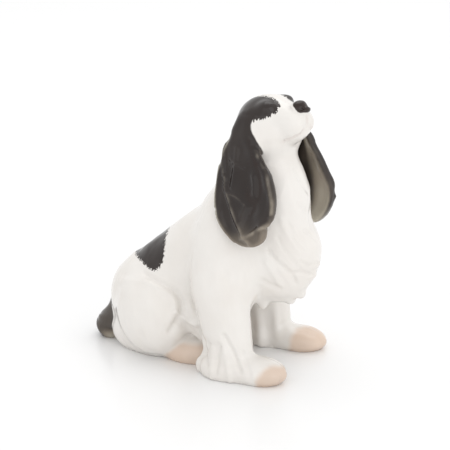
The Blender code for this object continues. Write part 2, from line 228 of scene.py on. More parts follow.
TAIL = [(Cap((-64, 0, 18), (-74.5, 0, 7), 10.5, 9.3), 4), (Cap((-67.5, 0, 14), (-71.8, 0, 26.5), 9.4, 2.4), 3)]
EARS = {
    -1: rounded([(1.3, 146.9), (2.5, 143.2), (7.0, 138.2), (10.7, 132.8), (15.6, 126.7), (19.2, 123.1), (21.6, 117.9),
                 (24.6, 110.5), (26.4, 105.4), (27.0, 101.5), (26.4, 97.6), (23.6, 95.6), (24.6, 92.4), (24.0, 87.5),
                 (20.0, 83.9), (13.9, 82.2), (9.0, 82.2), (3.9, 83.6), (-1.7, 87.0), (-7.0, 91.2), (-10.4, 96.1),
                 (-13.0, 101.0), (-14.5, 105.0), (-15.3, 108.5), (-16.2, 114.9), (-15.8, 119.4), (-14.4, 125.4),
                 (-13.3, 132.3), (-10.9, 139.4), (-8.5, 145.5), (-6, 151), (0, 152)], 1),
    1: rounded([(2, 147), (7, 142), (12, 139.5), (15.9, 137.2), (17.6, 133.3), (18.0, 129.4), (20.3, 124.6), (22.3, 119.9),
                (24.6, 112.5), (25.7, 105.5), (25.3, 99.0), (23.3, 91.8), (19.4, 84.7), (15.0, 79.9), (10.8, 77.6),
                (4, 78.5), (-1.7, 82.5), (-7.0, 88.5), (-11, 95.5), (-13.6, 103), (-15.3, 110), (-16.2, 114.9),
                (-15.8, 119.4), (-14.4, 125.4), (-13.3, 132.3), (-10.9, 139.4), (-8.5, 145.5), (-6, 151), (0, 152)], 1),
}


def ear_axes(P):
    f, l = P[..., 0] - F32(HO[0]), P[..., 1]
    return f * F32(cos(YAW)) - l * F32(sin(YAW)), f * F32(sin(YAW)) + l * F32(cos(YAW)), P[..., 2]


def ear_sheet(p, z, s):
    u = np.clip((152 - z) / 75, 0, 1.1)
    low = ramp(u, 0.45, 0.8)
    t = 12.0 + 15.0 * np.sqrt(u) + 4.0 * u + 3.0 * np.clip(u - 0.55, 0, 1) + 2.4 * low
    if s < 0:
        t = t - 2.6 * ((p - 2) / 18) ** 2 * (0.4 + 0.6 * u) * (1 - low)
    else:
        t = (t - 2.6 * (np.minimum(p - 2, 0) / 18) ** 2 * (0.4 + 0.6 * u) * (1 - low)
             + 2.0 * (np.maximum(p - 2, 0) / 20) ** 2)
    return s * t


def ear_d(P, s):
    p, t, z = ear_axes(P)
    d2 = poly_d(p, z, EARS[s])
    off = t - ear_sheet(p, z, s)
    outer = off * s                                 # grows away from the head
    half = (2.7 if s < 0 else 2.0) + 0.6 * ramp(d2, -6.0, -1.0)         # a slightly rolled rim
    half = half * (1 - 0.3 * ramp(z, 132, 148))
    if s > 0:                                       # dished on its inner side
        half = half - np.where(outer < 0, 1.3 * ramp(d2, -1.5, -6.0), 0)
    w = np.abs(off) - half
    return smax(d2, w, 3.4 if s < 0 else 2.0)


GROUPS = {"torso": TORSO, "head": HEAD, "nose": NOSE, "foreleg_right": foreleg(-1), "foreleg_left": foreleg(1),
          "hind_paw_right": hind_paw(-1), "hind_paw_left": hind_paw(1), "tail": TAIL}
EAR_BOX = {s: (np.array([0.0, -46, 70]) if s < 0 else np.array([0.0, 8, 70]),
               np.array([60.0, -6, 158]) if s < 0 else np.array([66.0, 46, 158])) for s in (-1, 1)}
JOINS = [("head", 5), ("nose", 0.9), ("foreleg_right", 5), ("foreleg_left", 5), ("hind_paw_right", 2),
         ("hind_paw_left", 2), ("tail", 2.0)]
# grooves: mouth, philtrum, nostrils
GROOVES = [(hcap((29.5, 0, -1.5), (29.0, 0, -7.5), 0.30, 0.3), 1.0),
           (hcap((28.5, -2.5, -8.3), (24, -7.0, -10.2), 0.25, 0.3), 1.2),
           (hcap((24, -7.0, -10.2), (14, -9.8, -10.6), 0.3, 0.25), 1.2),
           (hcap((14, -9.8, -10.6), (8, -11.5, -8.0), 0.25, 0.2), 1.2),
           (hcap((28.5, 2.5, -8.3), (24, 7.0, -10.2), 0.25, 0.3), 1.2),
           (hcap((24, 7.0, -10.2), (14, 9.8, -10.6), 0.3, 0.25), 1.2),
           (hcap((14, 9.8, -10.6), (8, 11.5, -8.0), 0.25, 0.2), 1.2),
           (hcap((31.0, -2.6, 2.6), (29.5, -6.4, 3.6), 0.9, 0.7), 0.6),
           (hcap((31.0, 2.6, 2.6), (29.5, 6.4, 3.6), 0.9, 0.7), 0.6)]
VENT = (-40.0, 0.0, 4.5, 12.0)


def near(lo, hi, blo, bhi, m):
    return np.all(lo - m < bhi) and np.all(hi + m > blo)


def group_d(name, P, box=None):
    out = None
    for prim, k in GROUPS[name]:
        if box is not None and not near(prim.lo, prim.hi, box[0], box[1], 40):
            continue
        v = prim.d(P)
        out = v if out is None else smin(out, v, max(k, 0.01))
    return out


def field(P, box=None):
    d = group_d("torso", P, box)
    if d is None:
        d = np.full(P.shape[:-1], 50.0, F32)
    for name, k in JOINS:
        g = group_d(name, P, box)
        if g is not None:
            d = smin(d, g, k)
    for s in (-1, 1):
        if box is None or near(*EAR_BOX[s], box[0], box[1], 8):
            d = smin(d, ear_d(P, s), 1.0 + 7.0 * ramp(P[..., 2], 128, 144))
    for prim, k in GROOVES:
        if box is None or near(prim.lo, prim.hi, box[0], box[1], 8):
            d = smax(d, -prim.d(P), k)
    d = np.maximum(d, -P[..., 2])
    if box is None or box[0][2] < 20:
        r = np.sqrt((P[..., 0] - F32(VENT[0])) ** 2 + (P[..., 1] - F32(VENT[1])) ** 2) - F32(VENT[2])
        d = np.maximum(d, -np.maximum(r, P[..., 2] - F32(VENT[3])))
    return d


# ------------------------------------------------------------ drawing the skin
def draw(lo, hi, h, B=26):
    lo = np.array(lo, float)
    n = np.ceil((np.array(hi) - lo) / h).astype(int) + 1
    v = np.full(tuple(n), 1.0, F32)
    for i in range(0, n[0], B):
        for j in range(0, n[1], B):
            for k in range(0, n[2], B):
                a = np.array([i, j, k])
                b = np.minimum(a + B, n)
                blo, bhi = lo + a * h, lo + (b - 1) * h
                c, rad = (blo + bhi) / 2, np.linalg.norm(bhi - blo) / 2
                mid = float(field(c[None].astype(F32))[0])
                if abs(mid) > rad * 1.8 + 3:
                    v[i:b[0], j:b[1], k:b[2]] = np.sign(mid)
                    continue
                X, Y, Z = np.meshgrid(*[(lo[q] + h * np.arange(a[q], b[q])).astype(F32) for q in range(3)], indexing="ij")
                v[i:b[0], j:b[1], k:b[2]] = field(np.stack([X, Y, Z], -1), (blo, bhi))
    return v, lo


def nets(v, lo, h):
    """Surface nets: one vertex in each cell the skin passes, one quad across each crossed edge."""
    s = v < 0
    nx, ny, nz = v.shape
    corners = [(i, j, k) for i in (0, 1) for j in (0, 1) for k in (0, 1)]
    c = np.zeros((nx - 1, ny - 1, nz - 1), np.int8)
    for i, j, k in corners:
        c += s[i:nx - 1 + i, j:ny - 1 + j, k:nz - 1 + k]
    act = (c > 0) & (c < 8)
    idx = -np.ones(act.shape, np.int64)
    cells = np.argwhere(act)
    idx[act] = np.arange(len(cells))
    P, W = np.zeros((len(cells), 3)), np.zeros(len(cells))

    def g(o):
        return v[cells[:, 0] + o[0], cells[:, 1] + o[1], cells[:, 2] + o[2]].astype(float)
    for a in corners:
        for ax in range(3):
            if a[ax] == 0:
                b = list(a)
                b[ax] = 1
                va, vb = g(a), g(b)
                m = (va < 0) != (vb < 0)
                t = np.where(m, va / np.where(m, va - vb, 1), 0)
                p = np.tile(np.array(a, float), (len(cells), 1))
                p[:, ax] += t
                P[m] += p[m]
                W[m] += 1
    V = lo + h * (cells + P / W[:, None])
    Q = []
    for ax in range(3):
        A = s[tuple(slice(0 if i == ax else 1, -1) for i in range(3))]
        Bq = s[tuple(slice(1, None) if i == ax else slice(1, -1) for i in range(3))]
        e = np.argwhere(A != Bq)
        ins = A[A != Bq]
        e = e + np.array([0 if i == ax else 1 for i in range(3)])
        u, w = [(1, 2), (2, 0), (0, 1)][ax]
        du, dw = np.zeros(3, int), np.zeros(3, int)
        du[u] = 1
        dw[w] = 1
        q = [e - du - dw, e - dw, e, e - du]
        q = np.stack([idx[x[:, 0], x[:, 1], x[:, 2]] for x in q], 1)
        q[~ins] = q[~ins][:, ::-1]
        Q.append(q)
    return V, np.concatenate(Q)


def in_chunks(fn, P, n=60000):
    return np.concatenate([fn(P[i:i + n].astype(F32)) for i in range(0, len(P), n)])


def gradient(P, e=0.12):
    g = np.empty_like(P)
    for i in range(3):
        d = np.zeros(3)
        d[i] = e
        g[:, i] = in_chunks(field, P + d) - in_chunks(field, P - d)
    return g / (2 * e)


def mesh_normals(V, Q):
    n = np.zeros_like(V)
    fn = np.cross(V[Q[:, 2]] - V[Q[:, 0]], V[Q[:, 3]] - V[Q[:, 1]])
    for k in range(4):
        np.add.at(n, Q[:, k], fn)
    return n / np.maximum(np.linalg.norm(n, axis=1, keepdims=True), 1e-12)


def neighbours_mean(V, Q, X):
    """Mean of X over the quad edges at each vertex."""
    out, w = np.zeros_like(X), np.zeros(len(V))
    for a, b in ((0, 1), (1, 2), (2, 3), (3, 0)):
        np.add.at(out, Q[:, a], X[Q[:, b]])
        np.add.at(out, Q[:, b], X[Q[:, a]])
        np.add.at(w, Q[:, a], 1)
        np.add.at(w, Q[:, b], 1)
    return out / np.maximum(w, 1).reshape(-1, *([1] * (X.ndim - 1)))


V, Q = nets(*draw((-92, -50, -2.4), (66, 50, 168), H), H)
# settle each vertex on the skin itself, but keep the flat underside flat
for _ in range(2):
    g = gradient(V)
    d = in_chunks(field, V)
    step = g * (d / np.maximum((g * g).sum(1), 0.25))[:, None]
    ln = np.linalg.norm(step, axis=1, keepdims=True)
    V = V - step * np.minimum(1, 0.5 * H / np.maximum(ln, 1e-9))
V[:, 2] = np.maximum(V[:, 2], 0)
N0 = mesh_normals(V, Q)

# ---------------------------------------------------- which casting owns what
NAMES = ["torso", "head", "ear_left", "ear_right", "foreleg_left", "foreleg_right",
         "hind_paw_left", "hind_paw_right", "tail"]
D = {n: in_chunks(lambda P, n=n: group_d(n, P), V) for n in GROUPS}
D["head"] = np.minimum(D["head"], D["nose"])
# neck joint: a plane below the skull
nn = np.array([0.34, 0.0, 0.94])
nn /= np.linalg.norm(nn)
over_neck = (V - np.array([24.0, 0.0, 129.0])) @ nn
D["ear_right"] = in_chunks(lambda P: ear_d(P, -1), V)
D["ear_left"] = in_chunks(lambda P: ear_d(P, 1), V)
both = np.minimum(D["torso"], D["head"])
D["torso"] = np.where(over_neck < 0, both, 99.0)
D["head"] = np.where(over_neck >= 0, both, 99.0)
for n in ("ear_left", "ear_right"):
    D[n] = D[n] - 0.3
for n in ("foreleg_left", "foreleg_right"):
    D[n] = D[n] + np.where(V[:, 2] > 60, 0.12 * (V[:, 2] - 60), 0)
stack = np.stack([D[n] for n in NAMES], 1)
f, l, z = V[:, 0], V[:, 1], V[:, 2]
m_, t_, n_ = in_head(V.astype(F32))


# ----------------------------------------------------------------- the relief
def owner(name, width=2.0):
    """Soft weight of one casting, 0..1, fading over its joints."""
    i = NAMES.index(name)
    rest = np.delete(stack, i, 1).min(1)
    return ramp(rest - stack[:, i], -width, width)


W_ = {n: owner(n) for n in NAMES}
relief = np.zeros(len(V))
# soft strands over the coat, running down and back
a = noise((f + 0.35 * z) / 6.5, l / 6.0, (z - 0.2 * f) / 15.0, 1)
b = noise((f + 0.35 * z) / 2.9, l / 2.7, (z - 0.2 * f) / 8.0, 2)
relief += (W_["torso"]) * (0.55 * (a - 0.5) + 0.20 * (b - 0.5))
relief += (W_["foreleg_left"] + W_["foreleg_right"]) * (0.40 * (a - 0.5) + 0.16 * (b - 0.5))
relief += W_["head"] * 0.16 * (b - 0.5)
# locks on the bib
bib = W_["torso"] * ramp(f, 26, 38) * ramp(z, 36, 50) * ramp(over_neck, 4, -8)
wav = noise(l / 9.0 + 0.9 * np.sin(z / 11.0), f / 18.0, z / 22.0, 3)
relief += bib * 0.7 * (0.5 - np.abs(2 * wav - 1))

# lines drawn on the flank, F forward and Z up where the line meets the plane 15 mm right of
# the middle; each has the castings it belongs to, a half width and a height
VIEW = np.array([0.369, -0.87, 0.326])
SLANT = (0.424, 0.374)
MIRRORED = [
    ("torso", [(-44.1, 48.6), (-36.3, 45.4), (-29.9, 43.0), (-24.1, 40.1), (-20.3, 34.4), (-21.0, 28.0), (-24.9, 21.1),
               (-28.2, 15.5)], 2.1, -1.6),                                                      # around the haunch
    ("torso", [(-59.8, 42.3), (-43.4, 44.7), (-33.7, 41.6), (-27.9, 38.9), (-25.0, 35.2), (-24.4, 30.7),
               (-27.5, 23.3)], 2.3, 0.8),
    ("torso", [(-24.6, 28.4), (-17.8, 24.1), (-12.1, 21.8)], 1.5, 1.3),                          # fold to the elbow
    ("torso", [(-21.7, 22.0), (-15.9, 17.7), (-11.5, 15.0)], 2.6, -1.4),
    ("torso", [(-13.9, 46.0), (-13.3, 39.8), (-12.0, 32.5), (-9.9, 17.1)], 1.4, -0.8),
    ("foreleg", [(6.0, 19.0), (8.0, 15.6), (10.8, 11.0), (13.3, 5.7), (15.9, -1.4)], 1.3, -1.3),  # flutes of the skirt
    ("foreleg", [(4.6, 14.5), (6.3, 8.5), (7.6, 1.1), (9.4, -8.8)], 1.6, 1.1),
    ("foreleg", [(3.4, 11.2), (2.6, 8.2), (2.0, 1.5), (0.7, -5.1)], 1.1, -1.3),
    ("foreleg", [(-4.4, 11.5), (-5.9, 4.9), (-5.2, -1.2)], 1.2, -1.0),
    ("foreleg", [(-1.3, 9.8), (-2.0, -0.7), (-2.2, -8.3)], 1.2, 0.7),
    ("foreleg", [(17.7, 10.2), (20.3, 3.1), (22.2, -5.4)], 1.4, -0.5),
    ("foreleg", [(-7.4, 13.0), (0.0, 11.4), (5.0, 13.5)], 2.6, -0.9),                           # waist above the skirt
]
DRAWN = [
    ("torso", [(33.0, 73.5), (37.2, 68.7), (42.6, 65.0), (48.0, 60.6), (50.1, 57.0)], 1.5, -1.3),   # under the bib
    ("torso", [(31.7, 66.7), (36.7, 59.6), (41.0, 54.1)], 2.0, 0.8),
    ("torso", [(29.7, 55.5), (34.9, 53.2), (40.4, 52.5)], 1.5, -0.8),
    ("torso", [(55.7, 88.7), (58.7, 88.0), (62.4, 84.3)], 1.0, -0.8),
    ("torso", [(51.0, 104.6), (56.1, 100.6)], 1.0, -0.6),
    ("torso", [(48.7, 124.2), (51.7, 118.8), (57.7, 111.9)], 1.1, -0.7),
    ("torso", [(53.0, 70.0), (58.6, 68.0), (65.0, 70.6)], 1.1, -1.0),
    ("torso", [(49.0, 62.6), (54.9, 63.4), (60.7, 62.9)], 1.2, -1.0),
    ("torso", [(38.9, 82.2), (42.6, 75.5), (48.8, 69.2), (53.0, 65.0)], 1.5, -0.5),
    ("torso", [(41.0, 92.0), (46.1, 82.0), (52.9, 75.4)], 2.2, 0.6),
    ("torso", [(46.1, 91.0), (49.8, 82.5), (55.9, 77.4)], 1.3, -0.5),
    ("head", [(28.8, 135.3), (36.6, 137.9), (42.5, 139.2), (49.0, 141.1)], 2.0, -0.35),
]
mate = {"torso": W_["torso"], "head": np.maximum(W_["head"], W_["torso"]),
        "foreleg": W_["foreleg_left"] + W_["foreleg_right"]}


def flank(P, mirror):
    q = (-np.abs(P[:, 1]) if mirror else P[:, 1]) + 15
    return (P[:, 0] + SLANT[0] * q).astype(F32), (P[:, 2] + SLANT[1] * q).astype(F32)


for lines, mirror in ((MIRRORED, True), (DRAWN, False)):
    Fp, Zp = flank(V, mirror)
    side_n = N0 * np.array([1, 1, 1])
    if mirror:
        side_n[:, 1] = -np.abs(N0[:, 1]) * np.sign(np.maximum(N0[:, 1] * l, -1e-9) + 1e-12)
    facing = ramp(side_n @ VIEW, 0.0, 0.3)
    for who, pts, wide, high in lines:
        relief += mate[who] * facing * high * np.exp(-(path_d(Fp, Zp, pts) / wide) ** 2)

# feathering of the forelegs, and the toes
for s, n in ((-1, "foreleg_right"), (1, "foreleg_left")):
    dl = 0 if s < 0 else 1.5
    th = np.arctan2((l - s * 28.5) / 0.74, f - (12 + dl))
    away = ramp(-s * N0[:, 1], -0.2, 0.4)                       # the side turned to the other leg, and the rear
    hind_side = ramp(-N0[:, 0], 0.5, 0.9)
    w1 = 0.5 + 0.5 * np.cos(9 * th + 0.05 * z)
    relief += W_[n] * np.maximum(away, hind_side) * ramp(f, 30, 22) * ramp(z, 34, 10) * (2.2 * w1 ** 1.4 - 0.9)
    cl = -30 if s < 0 else 27.5
    tip = ramp(f, 33 + dl, 42 + dl) * W_[n]
    across = (l - cl) / 3.9
    relief += tip * ramp(z, 0.5, 4) * 0.8 * (np.abs(np.cos(across * pi / 2)) ** 0.5 - 0.75)
for s, n in ((-1, "hind_paw_right"), (1, "hind_paw_left")):
    across = (f + 14) / 4.2
    relief += W_[n] * ramp(z, 13, 8) * ramp(z, 0.5, 3) * 0.6 * (np.abs(np.cos(across * pi / 2)) ** 0.5 - 0.75)
# tail strands
th = np.arctan2(l, z - 12)
relief += W_["tail"] * 0.25 * np.sin(7 * th + f / 6)

# ears: p forward and z up on the leaf; half width, height, and a last number: above zero a painted highlight along the
# ridge, where the glaze also wears thin, below zero painted shade in the crease
FOLDS = [
    ([(12.0, 128.5), (13.4, 125.0), (15.1, 119.7), (15.9, 114.4), (15.9, 110.0)], 1.15, -1.5, -0.4),
    ([(17.0, 125.0), (18.6, 122.4), (20.4, 117.7), (22.7, 111.9), (25.0, 107.2), (26.0, 103.0)], 1.0, 0.7, 0.8),
    ([(8.6, 134.5), (12.7, 129.7), (15.6, 126.0)], 1.3, 0.5, 0.85),
    ([(4.5, 139.4), (9.0, 131.6), (11.6, 128.0)], 1.0, -0.8, -0.3),
    ([(9.0, 110.0), (11.0, 108.2), (14.3, 106.2), (14.9, 104.0), (13.4, 101.6)], 1.1, -1.4, -0.4),
    ([(-12.0, 142.0), (-12.6, 137.0), (-12.2, 131.0), (-11.6, 124.8), (-9.8, 117.8)], 0.8, 0.8, 0.6),
    ([(-10.4, 140.0), (-10.4, 131.0), (-9.2, 124.0)], 1.0, -1.0, -0.2),
    ([(-14.0, 122.0), (-14.2, 114.0), (-13.6, 107.0), (-11.6, 100.4)], 0.9, 0.5, 0.5),
    ([(-8.4, 117.0), (-7.2, 111.6), (-2.2, 105.8), (1.7, 99.8), (5.8, 95.2), (9.2, 91.0), (12.4, 87.5), (17.0, 85.4)],
     1.25, 1.2, 0.75),
    ([(-11.0, 113.0), (-8.6, 105.0), (-4.0, 98.6), (1.4, 92.0)], 1.9, -1.1, -0.2),
    ([(-3.6, 108.9), (1.6, 108.2), (8.5, 105.1)], 0.9, 0.6, 0.45),
    ([(9.9, 87.4), (14.0, 89.0), (18.6, 92.2), (22.4, 95.2), (26.0, 97.4)], 1.3, 1.0, 0.9),
    ([(14.6, 93.5), (19.6, 97.4), (23.0, 100.8)], 1.8, -0.8, -0.1),
    ([(-10.4, 97.6), (-5.6, 91.4), (-1.0, 87.6), (5.0, 84.6)], 0.8, 0.5, 0.6),
    ([(-5.9, 127.1), (-0.1, 125.5), (3.6, 124.4)], 0.9, 0.5, 0.3),
    ([(1.3, 132.6), (5.9, 128.6), (7.3, 125.4)], 1.3, -0.6, -0.15),
    ([(-5.6, 121.2), (-5.5, 114.7), (-4.4, 110.0)], 1.4, -0.7, -0.15),
    ([(-9.1, 107.1), (-7.0, 101.0), (-7.4, 96.6)], 1.6, 0.3, 0.3),
    ([(2.4, 121.1), (5.7, 116.8), (8.1, 113.1)], 2.6, -0.8, -0.25),
    ([(-3.0, 134.0), (-2.4, 127.0), (-2.8, 119.0), (-2.4, 113.0)], 1.6, 0.6, 0.12),
    ([(9.6, 104.0), (8.2, 99.7), (8.3, 95.7)], 1.6, 0.5, 0.15),
    ([(10.0, 121.0), (11.8, 116.0), (12.4, 112.0)], 1.3, 0.6, 0.1),
]
wear_sheen_and_crease_shade = np.zeros(len(V))
for s, n in ((-1, "ear_right"), (1, "ear_left")):
    p, t, zz = ear_axes(V.astype(F32))
    d2 = poly_d(p, zz, EARS[s])
    out_side = ramp((t - ear_sheet(p, zz, s)) * s, 0.0 if s > 0 else -0.8, 1.4 if s > 0 else 0.8)
    out_side = out_side * ramp(s * (N0 @ HT), -0.1, 0.35)
    patchy = noise(p / 2.2, zz / 4.0, 0 * p, 31)
    broad_ = noise(p / 7.0, zz / 11.0, 0 * p, 33) - 0.5
    relief += W_[n] * out_side * (1.6 if s < 0 else 0.8) * broad_ * ramp(d2, -1.0, -4.0) * ramp(zz, 146, 132)
    for pts, wide, high, sheen_shade_amount in FOLDS:
        g = np.exp(-(path_d(p, zz, pts) / (wide * (1.0 if high > 0 else 2.0))) ** 2) * W_[n] * out_side
        relief += g * high * (1.3 if high > 0 else 0.48) * (1.0 if s < 0 else 0.7)
        # painted highlight on the ridges, with the glaze worn thin there, and painted shade in the creases
        wear_sheen_and_crease_shade += (g ** 2.0 * sheen_shade_amount * (0.15 + 0.85 * patchy) * 0.65) if sheen_shade_amount > 0 else g * sheen_shade_amount * 0.8
    inn = W_[n] * (1 - out_side) * ramp(d2, -1.5, -5)
    relief += inn * 0.35 * np.sin((p - 0.25 * (zz - 100)) / 2.2)
wear_sheen_and_crease_shade = np.clip(wear_sheen_and_crease_shade, -1, 1)
floor_w = ramp(V[:, 2], 0.0, 1.2)
flat = N0.copy()
flat[:, 2] *= floor_w
under = (N0[:, 2] < -0.7) & (V[:, 2] < 0.6)
relief[under] = 0
V = V + flat * relief[:, None]
for _ in range(1):
    V = V * 0.6 + neighbours_mean(V, Q, V) * 0.4
V[:, 2] = np.maximum(V[:, 2], 0)
V[under, 2] = 0
NRM = mesh_normals(V, Q)

# ------------------------------------------------------------------ the paint
f, l, z = V[:, 0], V[:, 1], V[:, 2]


def side(P, l0):
    """Flank coordinates, the same on both sides: slanted on to the plane l = l0."""
    q = -np.abs(P[:, 1]) - l0
    return (P[:, 0] + 0.424 * q).astype(F32), (P[:, 2] + 0.374 * q).astype(F32)


F_, Z_ = side(V, -15)
saddle = poly_d(F_, Z_, rounded([(-51.5, 60.0), (-54, 72), (-40, 84), (-27.5, 83), (-30.4, 76), (-31.4, 69.0),
                                 (-31.8, 63.8), (-32.4, 58.4), (-35.5, 53.0), (-38.1, 51.4), (-41.4, 52.2),
                                 (-45.9, 55.2), (-49.7, 58.0)], 1))
saddle = np.where(z < 45, 9.0, saddle)
m_, t_, n_ = in_head(V.astype(F32))
mirror = HO + m_[:, None] * HM - np.abs(t_)[:, None] * HT + n_[:, None] * HN
Fh = mirror[:, 0] + 0.424 * (mirror[:, 1] + 14)
Zh = mirror[:, 2] + 0.374 * (mirror[:, 1] + 14)
patch = poly_d(Fh.astype(F32), Zh.astype(F32),
               rounded([(17.5, 143.0), (20.5, 147.2), (24.1, 148.6), (28.3, 150.2), (33.1, 152.4), (36.8, 154.8),
                        (39.7, 160.6), (36.4, 163.6), (31.8, 164.8), (26.0, 164.8), (20, 167), (8, 166),
                        (0, 150), (3, 136), (14, 138)], 1))
blaze = 3.0 + 2.6 * ramp(t_, 0, 3) * ramp(m_, -2, 8) - np.abs(t_) - 2.0 * ramp(m_, -2, -14)
patch = np.maximum(patch, np.where(n_ > 6, blaze, -9))
patch = np.where(stack[:, 1] < 90, patch, np.where(z > 128, patch, 9.0))
NOSE_SIDE = rounded([(46.2, 161.1), (47.9, 163.2), (50.7, 164.8), (56.0, 165.6), (60.5, 164.0), (61.0, 157.9), (57.5, 157.9),
                     (53.7, 157.3), (50.2, 156.5), (48.2, 158.3)], 1)
nose = np.maximum(in_chunks(lambda P: group_d("nose", P), V) - 1.9, poly_d(Fh.astype(F32), Zh.astype(F32), NOSE_SIDE))
ear_gap = np.minimum(in_chunks(lambda P: ear_d(P, -1), V), in_chunks(lambda P: ear_d(P, 1), V))
ear_own = np.minimum(ear_gap - 0.3 - np.delete(stack, [2, 3], 1).min(1), 3.0) / 2
tail_own = (stack[:, 8] - np.delete(stack, 8, 1).min(1)) / 2
tail_b = np.maximum(tail_own, 0.9 * (-f - 66.5) * -1 - 3.5)
tail_b = np.where(f < -60, tail_b, 9.0)
black = np.minimum.reduce([saddle, smin(np.clip(patch, -4, 4), ear_own, 1.6), nose, tail_b])
hairy = np.clip(ramp(np.minimum.reduce([nose, ear_own]) - np.minimum(saddle, patch), -0.5, 1.5)
                * np.where(tail_b < 3, 0.3, 1.0), 0.05, 1)
black = np.clip(black, -3, 3)
# fading to taupe at the foot of the ears and inside the left one; painted highlights and painted shade from the ear
# folds, and a painted highlight along the right ear's back rim
p, t, zz = ear_axes(V.astype(F32))
in_r = W_["ear_right"]
in_l = W_["ear_left"]
wob = noise(p / 5, zz / 5, 0 * p, 9) - 0.5
d2r = poly_d(p, zz, EARS[-1])
out_r = ramp(-(t - ear_sheet(p, zz, -1)), -1.2, 0.6)
tan = in_r * ramp(zz + 4 * wob - 0.25 * np.abs(p - 3), 99, 80) * 0.55
tan = tan + in_r * out_r * ramp(d2r, -2.6, -0.6) * ramp(zz, 128, 100) * 0.3
tan = tan + in_r * (1 - out_r) * 0.3
d2l = poly_d(p, zz, EARS[1])
inner = ramp((t - ear_sheet(p, zz, 1)), 0.6, -1.2)
mid = np.interp(zz, [80, 86, 95, 104, 115, 124, 132], [13.0, 15.4, 17.8, 18.8, 17.6, 15.8, 13.6])
wide = np.interp(zz, [80, 95, 104, 115, 128, 136], [7.5, 7.2, 6.2, 4.6, 2.4, 0.9])
band = ramp(np.abs(p - mid) / wide, 1.35, 0.35) * ramp(d2l, -0.3, -2.0) * in_l * inner
tan = tan + in_l * inner * (0.16 + 0.2 * wob) + band * (0.85 + 0.13 * ramp(zz, 118, 92))
# the ridges' painted highlights lift the taupe, the creases' painted shade pushes it below zero
tan = tan + wear_sheen_and_crease_shade
tan = np.clip(tan + W_["tail"] * (0.30 + ramp(z, 8, 2) * 0.8 * ramp(f, -80, -72)), -0.5, 1)
tan = np.where(nose < 0.4, -0.5, tan)
pale = np.clip(band * (0.24 + 0.40 * ramp(zz + 3 * wob, 112, 86)) + in_l * ramp(zz + 3 * wob, 92, 77) * 0.7 + 0.7 * W_["tail"] * ramp(z, 6, 1) * ramp(f, -77, -71)
               # painted highlights: on the ear ridges, and a thin glare line along the right ear's back rim
               + 0.5 * np.maximum(wear_sheen_and_crease_shade, 0) ** 1.5
               + 0.9 * in_r * np.exp(-((d2r + 1.2) / 0.6) ** 2) * ramp(p, 0, -9) * ramp(zz, 142, 134) * (0.35 + 0.65 * noise(p / 2, zz / 7, 0 * p, 41)), 0, 1)
# airbrushed toes
NEAR_PAW = rounded([(25.0, -14.0), (24.4, -7.5), (26.6, -1.5), (30.3, 3.1), (35.3, 5.2), (39.7, 5.5), (44.0, 6.5), (52, 4),
                    (54, -14)], 1)
FAR_PAW = rounded([(46.5, 8.0), (47.0, 15.7), (48.1, 20.8), (51.7, 26.0), (54.8, 28.6), (59.0, 30.4), (63, 31.0),
                   (74, 30), (76, 8)], 1)
Fs, Zs = flank(V, False)
near_p = ramp(poly_d(Fs, Zs, NEAR_PAW) + 1.2 * (noise(f / 4, l / 4, z / 4, 21) - 0.5), 1.4, -2.6) * W_["foreleg_right"]
far_p = ramp(poly_d(Fs, Zs, FAR_PAW) + 1.2 * (noise(f / 4, l / 4, z / 4, 22) - 0.5), 1.6, -3.0) * W_["foreleg_left"]
near_p = np.where(f > 26, near_p, 0)
far_p = np.where(f > 30, far_p, 0)
hind = (W_["hind_paw_right"] + W_["hind_paw_left"]) * ramp(z, 14.0, 10.5) * ramp(f, -33.0, -28)
pink = np.clip(near_p + far_p + hind, 0, 1)
# thin painted lines along the mouth and the philtrum
mouth = np.minimum.reduce([in_chunks(g_.d, V) for g_, _ in GROOVES[:7]])
line = ramp(mouth, 1.6, 0.2) * 0.22



LABEL = stack.argmin(1)


def majority(Q):
    lab = LABEL[Q]
    best = lab[:, 0].copy()
    for c in range(4):
        cnt = (lab == lab[:, [c]]).sum(1)
        best = np.where(cnt >= 3, lab[:, c], best)
    return best


QL = majority(Q)


